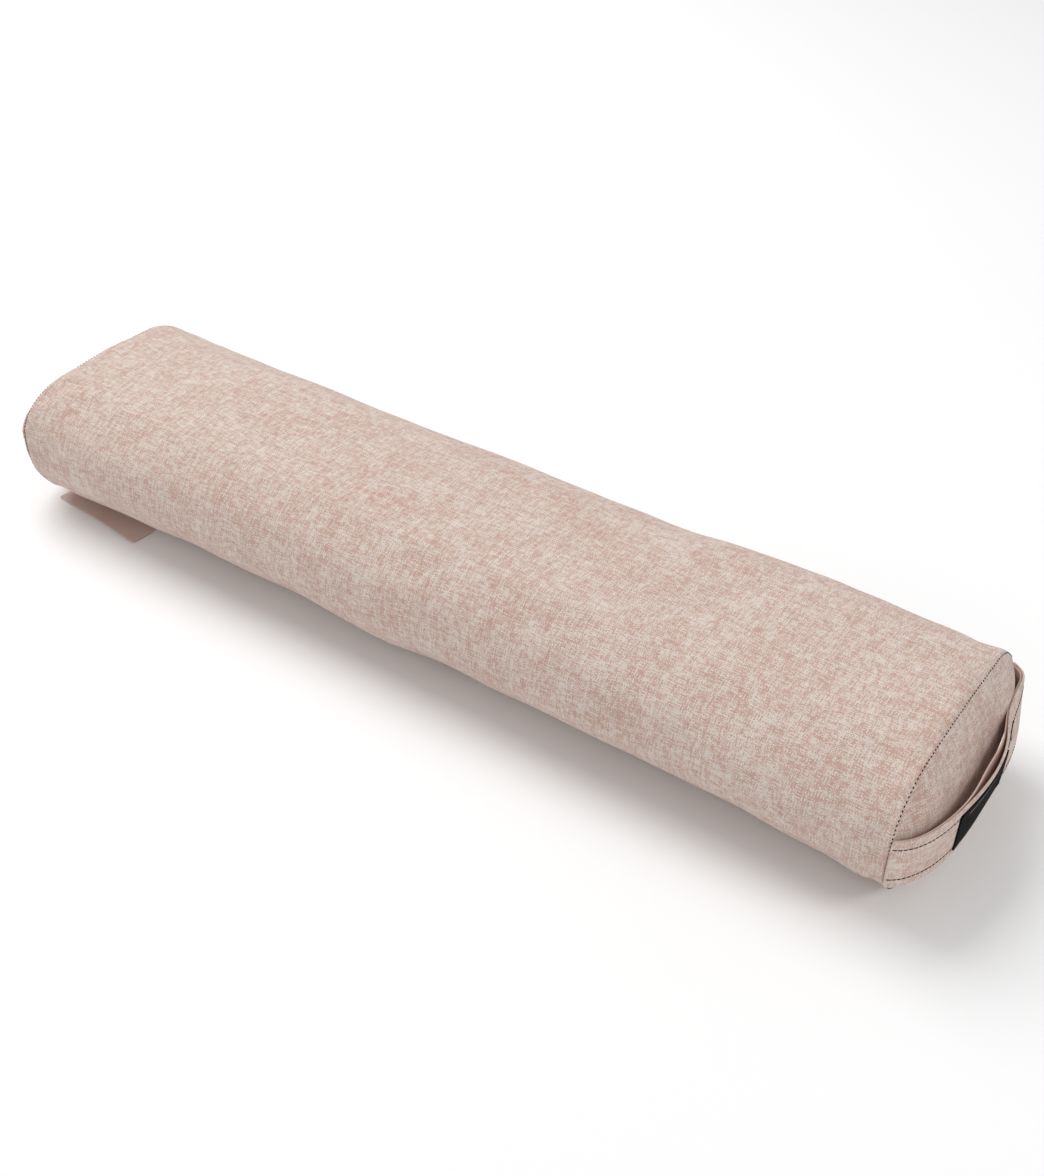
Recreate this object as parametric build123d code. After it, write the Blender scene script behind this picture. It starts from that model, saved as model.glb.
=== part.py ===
from build123d import *
import os

# Bolster pillow: a firm core in wadding, a sewn liner and a zipped outer cover with a carry
# handle at each end. The origin is the middle of the underside, +X runs along the length to
# the labelled end, +Y to the zip side and +Z up. Every size is in millimetres.

os.makedirs("parts", exist_ok=True)

# The body, measured over the outer cover.
LENGTH = 711.0  # between the two end seams
WIDTH = 183.0
HEIGHT = 107.0
EDGE_HEIGHT = 102.5  # where the flat side would meet the crowned top
FOOT_RADIUS = 54.0
SHOULDER_RADIUS = 42.0
END_CROWN = 9.0  # how far each end panel swells past its seam

# The layers, from the outside in.
COVER = 1.5
LINER = 1.2
WADDING = 10.0

# Seam threads lie flush in the cloth.
THREAD_WIDTH = 0.6
THREAD_DEPTH = 0.4

# The carry handles: a strap of two plies on edge, sewn into the side seams at both ends.
STRAP_HEIGHT = 39.0
STRAP_MIDDLE_Z = 54.5
STRAP_PLY = 1.3
STRAP_BOW = 25.0  # from the seam to the strap's outer face, at the middle
BEND_BOW = 20.5  # the same, where the gentle middle arc meets the tighter end arcs
BEND_Y = 61.0
GRIP_HALF = 66.0  # the swinging middle reaches this far each way
GRIP_GAP = 0.3
STITCH_LINE_OFF = 12.5  # each stitched line above or below the strap's middle

# The woven label on the near handle.
LABEL_LENGTH = 66.0
LABEL_HEIGHT = 29.0
LABEL_MIDDLE_Y = -14.0
LABEL_MIDDLE_Z = 55.0
LABEL_THICK = 0.6
LABEL_HEM = 3.0

# The tag sewn into the far end's lower seam, which lies under the body.
TAG_LENGTH = 92.0
TAG_WIDTH = 50.0
TAG_THICK = 0.7
TAG_TURN = -6.4  # degrees about Z
TAG_CORNER = (-265.0, -75.0)  # its free outer corner
TAG_CLEARANCE = 0.5

# The zip, along the middle of the back face.
ZIP_Z = 58.0
ZIP_TRAVEL = 540.0
SLOT_LENGTH = 570.0
SLOT_HEIGHT = 10.4
TAPE_LENGTH = 584.0
TAPE_WIDTH = 10.0
TAPE_THICK = 0.6
COIL_WIDTH = 2.8
COIL_THICK = 2.4
COIL_LENGTH = 556.0
STOP_LENGTH = 3.0
STOP_GAP = 0.2
HEM_STITCH = 2.0  # from the slot's edge to its stitched line

# The slider and its pull.
SLIDER_LENGTH = 14.0
SLIDER_NOSE = 5.0  # the width of its narrow end
SLIDER_WIDTH = 8.8
SLIDER_PLATE = 1.25
SLIDER_CLEARANCE = 0.35
FLANGE = 1.2
BRIDGE_LENGTH = 7.8
BRIDGE_HEIGHT = 2.9
BRIDGE_WIDTH = 2.0
BRIDGE_BAR = 1.1
PIN_RADIUS = 0.65
PULL_THICK = 1.3
PULL_WIDTH = 8.0
PULL_START = 4.7  # from the pin to the plate
PULL_LENGTH = 24.0
PULL_ARM = 1.2
PULL_HOLE = 2.0

HALF = LENGTH / 2
SIDE_Y = WIDTH / 2
# A sphere through the side seams that rises END_CROWN above them at the middle.
END_RADIUS = (SIDE_Y**2 + END_CROWN**2) / (2 * END_CROWN)
TAPE_FACE_Y = SIDE_Y - COVER
COIL_TOP_Y = TAPE_FACE_Y + COIL_THICK
PLATE_Y = COIL_TOP_Y + SLIDER_CLEARANCE
BRIDGE_Y = PLATE_Y + SLIDER_PLATE
PIN_Y = BRIDGE_Y + PULL_THICK / 2 + SLIDER_CLEARANCE
SLIDER_X = ZIP_TRAVEL / 2
ENDS = (("near", 1), ("far", -1))


def section(inset):
    """The body's cross-section: a flat foot, upright sides and a crowned top, set in all round."""
    sides = Polyline((-SIDE_Y, EDGE_HEIGHT), (-SIDE_Y, 0), (SIDE_Y, 0), (SIDE_Y, EDGE_HEIGHT))
    top = ThreePointArc((SIDE_Y, EDGE_HEIGHT), (0, HEIGHT), (-SIDE_Y, EDGE_HEIGHT))
    outline = make_face(Wire([*sides.edges(), *top.edges()]).edges())
    outline = fillet(outline.vertices().group_by(Axis.Y)[0], FOOT_RADIUS)
    outline = fillet(outline.vertices().group_by(Axis.Y)[-1], SHOULDER_RADIUS)
    if inset > 0:
        outline = offset(outline, amount=-inset)
    return Plane.YZ * outline


def bar(inset):
    """A straight length of the cross-section, longer than the body."""
    return extrude(section(inset), HALF + 2 * END_CROWN, both=True)


def end_ball(side, inset):
    """The ball whose surface is an end panel's crown, side +1 for near and -1 for far."""
    return Pos(side * (HALF + END_CROWN - END_RADIUS), 0, HEIGHT / 2) * Sphere(END_RADIUS - inset)


def between_ends(solid, inset):
    """The part of a solid that lies within both end crowns, set in from them."""
    return solid & end_ball(1, inset) & end_ball(-1, inset)


def tube_layer(inset, thick):
    """A layer of cloth or wadding round the body, open at both ends."""
    return between_ends(bar(inset) - bar(inset + thick), inset)


def end_skin(solid, side, inset, thick):
    """The part of a solid that lies in a skin under one end's crown."""
    skin = (solid & end_ball(side, inset)) - end_ball(side, inset + thick)
    return skin & Pos(side * HALF, 0, 0) * Box(8 * END_CROWN, 2 * WIDTH, 4 * HEIGHT)


def end_layer(side, inset, thick):
    """A crowned panel that closes one end of a tube layer."""
    return end_skin(bar(inset + thick), side, inset, thick)


def end_seam_thread(side, inset, thick):
    """The seam's thread: a flush ring over the line where a tube layer meets its end panel."""
    line = inset + thick
    ring = bar(line - THREAD_WIDTH / 2) - bar(line + THREAD_WIDTH / 2)
    return end_skin(ring, side, inset, THREAD_DEPTH)


def strap_plan(side, depth):
    """The strap's outline seen from above, closed inside the body, set in by depth."""
    back = -2 * END_CROWN
    middle = ThreePointArc((BEND_BOW, -BEND_Y), (STRAP_BOW, 0), (BEND_BOW, BEND_Y))
    front_end = TangentArc((BEND_BOW, -BEND_Y), (0, -SIDE_Y), tangent=-(middle % 0))
    back_end = TangentArc((BEND_BOW, BEND_Y), (0, SIDE_Y), tangent=middle % 1)
    inside = Polyline((0, -SIDE_Y), (back, -SIDE_Y), (back, SIDE_Y), (0, SIDE_Y))
    edges = [*middle.edges(), *front_end.edges(), *back_end.edges(), *inside.edges()]
    outline = make_face(edges)
    if depth:
        outline = offset(outline, amount=-depth)
    outline = Pos(HALF, 0, 0) * outline
    return outline if side > 0 else mirror(outline, about=Plane.YZ)


def past_seam(side):
    """Everything further out than one end's side seams."""
    return Pos(side * (HALF + STRAP_BOW), 0, HEIGHT / 2) * Box(2 * STRAP_BOW, 2 * WIDTH, HEIGHT)


def strap_layer(side, outer, inner, z, height):
    """The part of the strap between two depths from its outer face, at a height on the strap."""
    ring = strap_plan(side, outer) - strap_plan(side, inner)
    layer = Pos(0, 0, z - height / 2) * extrude(ring, height)
    return (layer & past_seam(side)) - between_ends(bar(0), 0)


def between_y(low, high):
    """Everything between two planes across the width."""
    return Pos(0, (low + high) / 2, HEIGHT / 2) * Box(2 * LENGTH, high - low, 2 * HEIGHT)


def strap_threads(side):
    """The two stitched lines along the strap, from seam to seam."""
    lines = []
    for off in (-STITCH_LINE_OFF, STITCH_LINE_OFF):
        lines.append(strap_layer(side, 0, THREAD_DEPTH, STRAP_MIDDLE_Z + off, THREAD_WIDTH))
    return lines[0] + lines[1]


def handle(side):
    """One handle's pieces: its grip, lining, threads and the two roots in the side seams."""
    threads = strap_threads(side)
    outer = strap_layer(side, 0, STRAP_PLY, STRAP_MIDDLE_Z, STRAP_HEIGHT) - threads
    inner = strap_layer(side, STRAP_PLY, 2 * STRAP_PLY, STRAP_MIDDLE_Z, STRAP_HEIGHT)
    grip = between_y(-GRIP_HALF, GRIP_HALF)
    front = between_y(-WIDTH, -GRIP_HALF - GRIP_GAP)
    back = between_y(GRIP_HALF + GRIP_GAP, WIDTH)
    both_plies = outer + inner
    return {
        "handle_grip": outer & grip,
        "handle_lining": inner & grip,
        "handle_threads": threads & grip,
        "handle_front_root": both_plies & front,
        "handle_back_root": both_plies & back,
        "root_threads": (threads & front) + (threads & back),
    }


def label():
    """The woven label on the outer face of the near grip, and the thread at its two ends."""
    low = LABEL_MIDDLE_Y - LABEL_LENGTH / 2
    high = LABEL_MIDDLE_Y + LABEL_LENGTH / 2
    stitched = LABEL_HEIGHT - 2 * LABEL_HEM
    cloth = strap_layer(1, -LABEL_THICK, 0, LABEL_MIDDLE_Z, LABEL_HEIGHT) & between_y(low, high)
    skin = strap_layer(1, -LABEL_THICK, THREAD_DEPTH - LABEL_THICK, LABEL_MIDDLE_Z, stitched)
    rows = []
    for y in (low + LABEL_HEM, high - LABEL_HEM):
        rows.append(skin & between_y(y - THREAD_WIDTH / 2, y + THREAD_WIDTH / 2))
    threads = rows[0] + rows[1]
    return cloth - threads, threads


def tag_block(margin, thick):
    """A flat block under the far end, as large as the tag and a margin round it."""
    block = Box(TAG_LENGTH + 2 * margin, TAG_WIDTH + 2 * margin, thick)
    to_corner = Pos(-TAG_LENGTH / 2, TAG_WIDTH / 2, thick / 2)
    return Pos(TAG_CORNER[0], TAG_CORNER[1], 0) * Rot(0, 0, TAG_TURN) * to_corner * block


def zip_block(x, y_range, z_range, length):
    """A block on the back face, centred at x, with its heights counted from the zip's line."""
    y_low, y_high = y_range
    z_low, z_high = sorted(z_range)
    block = Box(length, y_high - y_low, z_high - z_low)
    return Pos(x, (y_low + y_high) / 2, ZIP_Z + (z_low + z_high) / 2) * block


def zip_slot():
    """The gap in the cover that shows the coils."""
    z_range = (-SLOT_HEIGHT / 2, SLOT_HEIGHT / 2)
    return zip_block(0, (SIDE_Y - 2 * COVER, SIDE_Y + COVER), z_range, SLOT_LENGTH)


def zip_tape(direction):
    """One tape behind the slot, above the coils for +1 and below for -1."""
    z_range = (0, direction * TAPE_WIDTH)
    return zip_block(0, (TAPE_FACE_Y - TAPE_THICK, TAPE_FACE_Y), z_range, TAPE_LENGTH)


def zip_coil(direction):
    """One row of the closed coil, rounded along its outer edge."""
    row = zip_block(0, (TAPE_FACE_Y, COIL_TOP_Y), (0, direction * COIL_WIDTH), COIL_LENGTH)
    away = row.edges().filter_by(Axis.X).group_by(Axis.Z)[-1 if direction > 0 else 0]
    return fillet(away.sort_by(Axis.Y)[-1], COIL_WIDTH / 3)


def zip_stop(end, z_range):
    """A stop clamped at one end of the coil, over part of its width."""
    x = end * (COIL_LENGTH / 2 + STOP_GAP + STOP_LENGTH / 2)
    return zip_block(x, (TAPE_FACE_Y, COIL_TOP_Y), z_range, STOP_LENGTH)


def zip_threads():
    """The frame of stitches that holds the cover's folded edges to the tapes."""
    y_range = (SIDE_Y - THREAD_DEPTH, SIDE_Y)
    z = SLOT_HEIGHT / 2 + HEM_STITCH
    length = SLOT_LENGTH + 2 * HEM_STITCH
    outer = zip_block(0, y_range, (-z - THREAD_WIDTH, z + THREAD_WIDTH), length + 2 * THREAD_WIDTH)
    return outer - zip_block(0, y_range, (-z, z), length)


def slider_plate():
    """The slider's outer plate, which narrows to its nose at the open side."""
    half = SLIDER_LENGTH / 2
    wide = SLIDER_WIDTH / 2
    nose = SLIDER_NOSE / 2
    corners = [(-half, nose), (0, wide), (half, wide), (half, -wide), (0, -wide), (-half, -nose)]
    face = make_face(Polyline(*corners, close=True))
    outward = Plane((0, PLATE_Y, ZIP_Z), x_dir=(1, 0, 0), z_dir=(0, 1, 0))
    return extrude(outward * face, SLIDER_PLATE)


def slider_flange(direction):
    """The slider's edge that hooks down beside the coils, above them for +1."""
    y_range = (TAPE_FACE_Y + SLIDER_CLEARANCE, PLATE_Y)
    outer = SLIDER_WIDTH / 2
    z_range = (direction * (outer - FLANGE), direction * outer)
    return zip_block(SLIDER_LENGTH / 4, y_range, z_range, SLIDER_LENGTH / 2)


def slider_bridge():
    """The arch on the slider's plate that holds the pull's pin."""
    top = BRIDGE_Y + BRIDGE_HEIGHT
    z_range = (-BRIDGE_WIDTH / 2, BRIDGE_WIDTH / 2)
    arch = zip_block(0, (BRIDGE_Y, top), z_range, BRIDGE_LENGTH)
    arch = fillet(arch.edges().filter_by(Axis.Z).group_by(Axis.Y)[-1], BRIDGE_BAR)
    hole = zip_block(0, (BRIDGE_Y, top - BRIDGE_BAR), z_range, BRIDGE_LENGTH - 2 * BRIDGE_BAR)
    return arch - hole


def slider():
    """The whole slider, at the closed end of its travel."""
    shape = slider_plate() + slider_flange(1) + slider_flange(-1) + slider_bridge()
    return Pos(SLIDER_X, 0, 0) * shape


def pull():
    """The pull: a pin under the bridge, two arms and a plate with a rounded, pierced end."""
    arm_z = BRIDGE_WIDTH / 2 + SLIDER_CLEARANCE
    arm_length = PULL_START + PULL_ARM
    shape = Cylinder(PIN_RADIUS, 2 * (arm_z + PULL_ARM))
    for direction in (-1, 1):
        arm = Box(arm_length, PULL_THICK, PULL_ARM)
        shape += Pos(arm_length / 2, 0, direction * (arm_z + PULL_ARM / 2)) * arm
    length = PULL_LENGTH - PULL_START
    plate = Pos(PULL_START + length / 2, 0, 0) * Box(length, PULL_THICK, PULL_WIDTH)
    plate = fillet(plate.edges().filter_by(Axis.Y).group_by(Axis.X)[-1], PULL_WIDTH / 2 - PULL_ARM)
    plate = fillet(plate.edges().filter_by(Axis.Y).group_by(Axis.X)[0], PULL_ARM)
    hole_x = PULL_LENGTH - PULL_WIDTH / 2
    hole = Pos(hole_x, 0, 0) * Rot(90, 0, 0) * Cylinder(PULL_HOLE, 2 * PULL_THICK)
    return Pos(SLIDER_X, PIN_Y, ZIP_Z) * (shape + plate - hole)


def cover():
    """The outer cover's panels, their seam threads and the tag in the far seam."""
    made = {"zip_threads": zip_threads(), "under_tag": tag_block(0, TAG_THICK)}
    wrap = tube_layer(0, COVER) - zip_slot() - made["zip_threads"]
    wrap = wrap - zip_tape(1) - zip_tape(-1) - tag_block(TAG_CLEARANCE, TAG_THICK)
    for end, side in ENDS:
        thread = end_seam_thread(side, 0, COVER)
        made[f"{end}_seam_thread"] = thread
        made[f"{end}_cover_end"] = end_layer(side, 0, COVER) - thread
        wrap = wrap - thread
    made["cover_wrap"] = wrap
    return made


def zip_fixed():
    """The zip's tapes, closed coils and stops."""
    made = {}
    for row, direction in (("upper", 1), ("lower", -1)):
        made[f"zip_tape_{row}"] = zip_tape(direction)
        made[f"zip_coil_{row}"] = zip_coil(direction)
    upper_stop = zip_stop(1, (STOP_GAP, COIL_WIDTH))
    made["zip_top_stops"] = upper_stop + zip_stop(1, (-COIL_WIDTH, -STOP_GAP))
    made["zip_bottom_stop"] = zip_stop(-1, (-COIL_WIDTH, COIL_WIDTH))
    return made


def filling():
    """The liner with its seam threads, the wadding and the core."""
    made = {}
    wrap = tube_layer(COVER, LINER) - zip_tape(1) - zip_tape(-1)
    for end, side in ENDS:
        thread = end_seam_thread(side, COVER, LINER)
        made[f"{end}_liner_thread"] = thread
        made[f"{end}_liner_end"] = end_layer(side, COVER, LINER) - thread
        wrap = wrap - thread
    made["liner_wrap"] = wrap
    inside = COVER + LINER
    made["wadding_wrap"] = tube_layer(inside, WADDING)
    made["fill_core"] = between_ends(bar(inside + WADDING), inside)
    return made


def every_piece():
    """Every piece of the pillow, by name."""
    pieces = {**cover(), **zip_fixed(), **filling()}
    for end, side in ENDS:
        for name, solid in handle(side).items():
            pieces[f"{end}_{name}"] = solid
    pieces["handle_label"], pieces["label_threads"] = label()
    pieces["zip_slider"] = slider()
    pieces["zip_pull"] = pull()
    return pieces


for node, piece in every_piece().items():
    export_step(piece, f"parts/{node}.step")
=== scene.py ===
import math
import random

import bmesh
import bpy
import numpy as np
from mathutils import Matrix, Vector, noise


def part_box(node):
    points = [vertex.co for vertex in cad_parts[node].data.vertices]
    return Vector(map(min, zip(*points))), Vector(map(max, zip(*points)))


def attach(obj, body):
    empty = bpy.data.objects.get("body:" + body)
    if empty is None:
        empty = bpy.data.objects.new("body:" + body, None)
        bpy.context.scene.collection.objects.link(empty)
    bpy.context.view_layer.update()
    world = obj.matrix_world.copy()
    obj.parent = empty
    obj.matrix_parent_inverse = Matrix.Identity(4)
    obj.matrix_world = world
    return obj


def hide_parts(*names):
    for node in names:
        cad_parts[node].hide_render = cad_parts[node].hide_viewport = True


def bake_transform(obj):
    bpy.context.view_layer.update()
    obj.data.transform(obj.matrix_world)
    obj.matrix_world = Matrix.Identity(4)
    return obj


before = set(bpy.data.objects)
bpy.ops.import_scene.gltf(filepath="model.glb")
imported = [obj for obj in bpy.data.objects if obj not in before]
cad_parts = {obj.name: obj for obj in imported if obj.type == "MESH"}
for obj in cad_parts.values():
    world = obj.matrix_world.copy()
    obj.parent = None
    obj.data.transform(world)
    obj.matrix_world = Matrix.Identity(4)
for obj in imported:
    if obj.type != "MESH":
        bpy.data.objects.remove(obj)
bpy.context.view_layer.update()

# The looks of a bolster pillow, in metres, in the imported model's frame: +X to the near end,
# +Y to the zip side, +Z up. The cover is one sewn shell, filled by a cloth simulation. The
# handles are two-ply straps whose shape is a function of the place along and up the strap.

MM = 0.001


def low(node):
    """A CAD node's lowest corner."""
    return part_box(node)[0]


def high(node):
    """A CAD node's highest corner."""
    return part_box(node)[1]


# The body, from the frame.
HALF = low("near_handle_front_root").x
SIDE = high("cover_wrap").y
TOP = high("cover_wrap").z
EDGE_TOP = TOP - 4.5 * MM
FOOT_RADIUS = 54 * MM
SHOULDER_RADIUS = 42 * MM
FAR_TAPER = 0.04
FAR_DROP = 6.4 * MM
BODY_MIDDLE = Vector((0, 0, TOP / 2))

# The cover's mesh.
LENGTH_STEP = 4.6 * MM
SEAM_STEPS = (0, 0.9 * MM, 2.1 * MM, 4 * MM, 7 * MM, 11 * MM)
SEAM_DITCH = ((0, 1.4 * MM), (0.9 * MM, 0.55 * MM), (2.1 * MM, 0.12 * MM), (4 * MM, 0))
PANEL_RINGS = ((2.1 * MM, 0.8 * MM), (3.6 * MM, 1.5 * MM), (6.2 * MM, 2.6 * MM))
PANEL_CROWN = 12.9 * MM
PANEL_POWER = 3.2
PANEL_BACK_DROP = 0.15
SLOT_HALF = high("zip_threads").x - 2.6 * MM
SLOT_LOW = low("zip_threads").z + 2.6 * MM
SLOT_HIGH = high("zip_threads").z - 2.6 * MM
ZIP_Z = (SLOT_LOW + SLOT_HIGH) / 2
HEM_OFF = 2.3 * MM
HEM_FOLD = ((0.75 * MM, 0.25 * MM), (1.3 * MM, 0.0))
TAG_LIFT = 1.3 * MM
TAG_LENGTH = 92 * MM
TAG_WIDTH = 50 * MM
TAG_TURN = math.radians(-6.4)

# Where the filling has settled: (place along the body, how far that edge is drawn in).
FRONT_FOOT_TUCK = (
    (-0.34, 1 * MM), (-0.25, 3 * MM), (-0.19, 6.4 * MM), (-0.12, 5.6 * MM), (-0.03, 1.6 * MM),
    (0.05, 5.6 * MM), (0.15, 6.2 * MM), (0.25, 5.8 * MM), (0.31, 3 * MM), (0.35, 0.6 * MM),
)
BACK_SHOULDER_TUCK = (
    (-0.34, 3.5 * MM), (-0.27, 4 * MM), (-0.2, 1.6 * MM), (-0.14, 3 * MM), (0, 1.4 * MM),
    (0.1, 2.2 * MM), (0.17, -0.4 * MM), (0.26, -1.8 * MM), (0.31, 0), (0.352, 2.4 * MM),
)

# The straps.
STRAP_BOW = 25 * MM
STRAP_LOW = low("near_handle_grip").z
STRAP_HIGH = high("near_handle_grip").z
STRAP_MIDDLE = (STRAP_LOW + STRAP_HIGH) / 2
STRAP_COLUMNS = 96
STITCH_OFF = 12.5 * MM
STITCH_PITCH = 3.1 * MM
OUTER_PLY = 1.7 * MM
INNER_PLY = 1.1 * MM
PLY_GAP = 0.15 * MM
LIP_GAP = 4.0 * MM
FAR_ROOT_DRAW = 0.3
FAR_FOOT_DRAW = 0.045

# Each kind of stitch: its length, width and height.
END_STITCH = (1.5 * MM, 0.9 * MM, 0.9 * MM)
STRAP_STITCH = (2.75 * MM, 0.85 * MM, 0.75 * MM)
LABEL_STITCH = (2.0 * MM, 0.5 * MM, 0.4 * MM)
HEM_STITCH = (2.5 * MM, 0.65 * MM, 0.5 * MM)
STITCH_WOBBLE = (0.15, 0.1, 0.1)
STITCH_SIDES = 6
COIL_SIDES = 8

# The label on the near strap.
LABEL_LOW = low("handle_label")
LABEL_HIGH = high("handle_label")
LABEL_THICK = 0.6 * MM
LABEL_LINE_V = 8.2 * MM
LABEL_LINE_HALF = 22 * MM

RANDOM = random.Random(7)


# Mesh helpers


def placed(name, data):
    """A new object in the scene."""
    made = bpy.data.objects.new(name, data)
    bpy.context.scene.collection.objects.link(made)
    return made


def new_object(name, mesh):
    """A new object for a mesh, with smooth shading."""
    mesh.shade_smooth()
    return placed(name, mesh)


def mesh_object(name, points, faces, uvs=None):
    """An object from points, faces and, if given, a UV in metres for each face corner."""
    mesh = bpy.data.meshes.new(name)
    mesh.from_pydata([tuple(p) for p in points], [], faces)
    if uvs is not None:
        layer = mesh.uv_layers.new(name="cloth")
        layer.data.foreach_set("uv", np.array(uvs, np.float32).ravel())
    mesh.update()
    return new_object(name, mesh)


def grid_faces(columns, rows, start=0, closed=False):
    """Quads over a grid of points stored column by column."""
    faces = []
    for i in range(columns - 1):
        for j in range(rows if closed else rows - 1):
            k = (j + 1) % rows
            a = start + i * rows
            b = a + rows
            faces.append((a + j, b + j, b + k, a + k))
    return faces


def tube_faces(columns, rows, start=0):
    """Quads round a closed tube of points, with a cap at each end."""
    last = start + (columns - 1) * rows
    faces = grid_faces(columns, rows, start, closed=True)
    return faces + [tuple(range(start, start + rows)), tuple(reversed(range(last, last + rows)))]


def points_of(piece):
    """A mesh object's points as an array."""
    flat = np.empty(len(piece.data.vertices) * 3, np.float32)
    piece.data.vertices.foreach_get("co", flat)
    return flat.reshape(-1, 3).astype(float)


def set_points(piece, points):
    """Moves a mesh object's points."""
    piece.data.vertices.foreach_set("co", np.asarray(points, np.float32).ravel())
    piece.data.update()


def shape_from(mesh):
    """A mesh's shape, to change."""
    shape = bmesh.new()
    shape.from_mesh(mesh)
    return shape


def put_shape(shape, mesh):
    """Puts a changed shape into a mesh."""
    shape.to_mesh(mesh)
    shape.free()
    return mesh


def outward(piece):
    """Turns a mesh's faces outward."""
    shape = shape_from(piece.data)
    bmesh.ops.recalc_face_normals(shape, faces=shape.faces)
    put_shape(shape, piece.data)
    return piece


def apply_modifiers(piece):
    """Replaces a piece's mesh with the one that its modifiers make."""
    graph = bpy.context.evaluated_depsgraph_get()
    made = bpy.data.meshes.new_from_object(piece.evaluated_get(graph))
    piece.modifiers.clear()
    piece.data = made
    return piece


def subdivide(piece, levels=1):
    """Smooths a piece with a subdivision surface."""
    modifier = piece.modifiers.new("smooth", "SUBSURF")
    modifier.levels = levels
    modifier.render_levels = levels
    modifier.uv_smooth = "PRESERVE_BOUNDARIES"
    return apply_modifiers(piece)


def bump(value, middle, width):
    """A smooth bump of height 1 round a middle."""
    return math.exp(-(((value - middle) / width) ** 2))


def ripple(a, b, c):
    """Smooth noise between -1 and 1 at three numbers."""
    return noise.noise(Vector((a, b, c)))


def unit(value):
    """A number held between 0 and 1."""
    return min(1, max(0, value))


def smooth(value):
    """A smooth step, from 0 at 0 to 1 at 1."""
    share = np.clip(value, 0, 1)
    return share * share * (3 - 2 * share)


# Materials


def srgb(red, green, blue):
    """A colour given as display values from 0 to 255, as a shader takes it."""
    linear = []
    for value in (red, green, blue):
        share = value / 255
        linear.append(((share + 0.055) / 1.055) ** 2.4 if share > 0.04045 else share / 12.92)
    return (*linear, 1.0)


class Graph:
    """A material's nodes, added with short calls. Its shader is a Principled BSDF."""

    def __init__(self, name, roughness=0.85, sheen=0.0):
        self.material = bpy.data.materials.new(name)
        self.material.use_nodes = True
        self.tree = self.material.node_tree
        self.shader = self.tree.nodes["Principled BSDF"]
        self.fill(self.shader, {"Roughness": roughness, "Sheen Weight": sheen})
        self.fill(self.shader, {"Sheen Roughness": 0.5, "Specular IOR Level": 0.25})

    def put(self, socket, value):
        """Links a socket to another, or sets its constant."""
        if isinstance(value, bpy.types.NodeSocket):
            self.tree.links.new(value, socket)
        elif value is not None:
            socket.default_value = value

    def fill(self, made, values):
        """Gives a node's inputs their values, by name or by place."""
        for key, value in values.items():
            self.put(made.inputs[key], value)
        return made

    def node(self, kind, values, **settings):
        """The outputs of a new node with its input values and its settings."""
        made = self.tree.nodes.new("ShaderNode" + kind)
        for key, value in settings.items():
            setattr(made, key, value)
        return self.fill(made, values).outputs

    def math(self, operation, first, second=None, third=None):
        """A math node's result."""
        return self.node("Math", {0: first, 1: second, 2: third}, operation=operation)[0]

    def times(self, first, second):
        """Two numbers multiplied."""
        return self.math("MULTIPLY", first, second)

    def affine(self, value, factor, offset):
        """A number times a factor, plus an offset."""
        return self.math("MULTIPLY_ADD", value, factor, offset)

    def rib(self, value):
        """Rounded ribs, one for each whole number, from 0 to 1."""
        return self.math("ABSOLUTE", self.math("SINE", self.times(value, math.pi)))

    def threads(self, pitch):
        """The cloth coordinates, in metres and in threads."""
        u, v = self.uv()
        return u, v, self.math("DIVIDE", u, pitch), self.math("DIVIDE", v, pitch)

    def uv(self):
        """The cloth coordinates, in metres."""
        made = self.node("UVMap", {}, uv_map="cloth")
        parts = self.node("SeparateXYZ", {0: made[0]})
        return parts[0], parts[1]

    def place(self):
        """The point on the object, in metres."""
        return self.node("TexCoord", {})["Object"]

    def vector(self, x, y, z=0.0):
        """A vector from three numbers."""
        return self.node("CombineXYZ", {0: x, 1: y, 2: z})[0]

    def noise(self, vector, scale=1.0, detail=0.0, roughness=0.5):
        """Noise from 0 to 1."""
        values = {"Vector": vector, "Scale": scale, "Detail": detail, "Roughness": roughness}
        return self.node("TexNoise", values)[0]

    def ramp(self, value, start, end, low_value=0.0, high_value=1.0):
        """A smooth step from one value to another."""
        values = {0: value, 1: start, 2: end, 3: low_value, 4: high_value}
        return self.node("MapRange", values, interpolation_type="SMOOTHSTEP")[0]

    def mix(self, share, first, second, blend="MIX"):
        """Two colours mixed."""
        values = {0: share, 6: first, 7: second}
        return self.node("Mix", values, data_type="RGBA", blend_type=blend)[2]

    def blend(self, share, first, second):
        """Two numbers mixed."""
        return self.node("Mix", {0: share, 2: first, 3: second}, data_type="FLOAT")[0]

    def shade(self, colour, share):
        """A colour darkened by a number from 0 to 1."""
        grey = self.node("CombineColor", {0: share, 1: share, 2: share})[0]
        return self.mix(1.0, colour, grey, "MULTIPLY")

    def finish(self, colour, height=None, depth=0.0002, strength=0.6, roughness=None):
        """Connects the colour, bump and roughness, and returns the material."""
        self.fill(self.shader, {"Base Color": colour, "Roughness": roughness})
        if height is not None:
            values = {"Distance": depth, "Strength": strength, "Height": height}
            self.fill(self.shader, {"Normal": self.node("Bump", values)[0]})
        return self.material


def thread_tone(g, index, along, across, seed):
    """How pale a stretch of thread is: its own slubs, and bundles of like threads."""
    own = g.vector(g.times(index, 3.37), g.math("DIVIDE", along, 5.5 * MM), seed)
    shared = g.vector(g.math("DIVIDE", across, 3.2 * MM), g.math("DIVIDE", along, 13 * MM), seed + 5)
    return g.math("ADD", g.times(g.noise(own, 1.0, 2.0), 0.8), g.times(g.noise(shared), 0.2))


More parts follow.
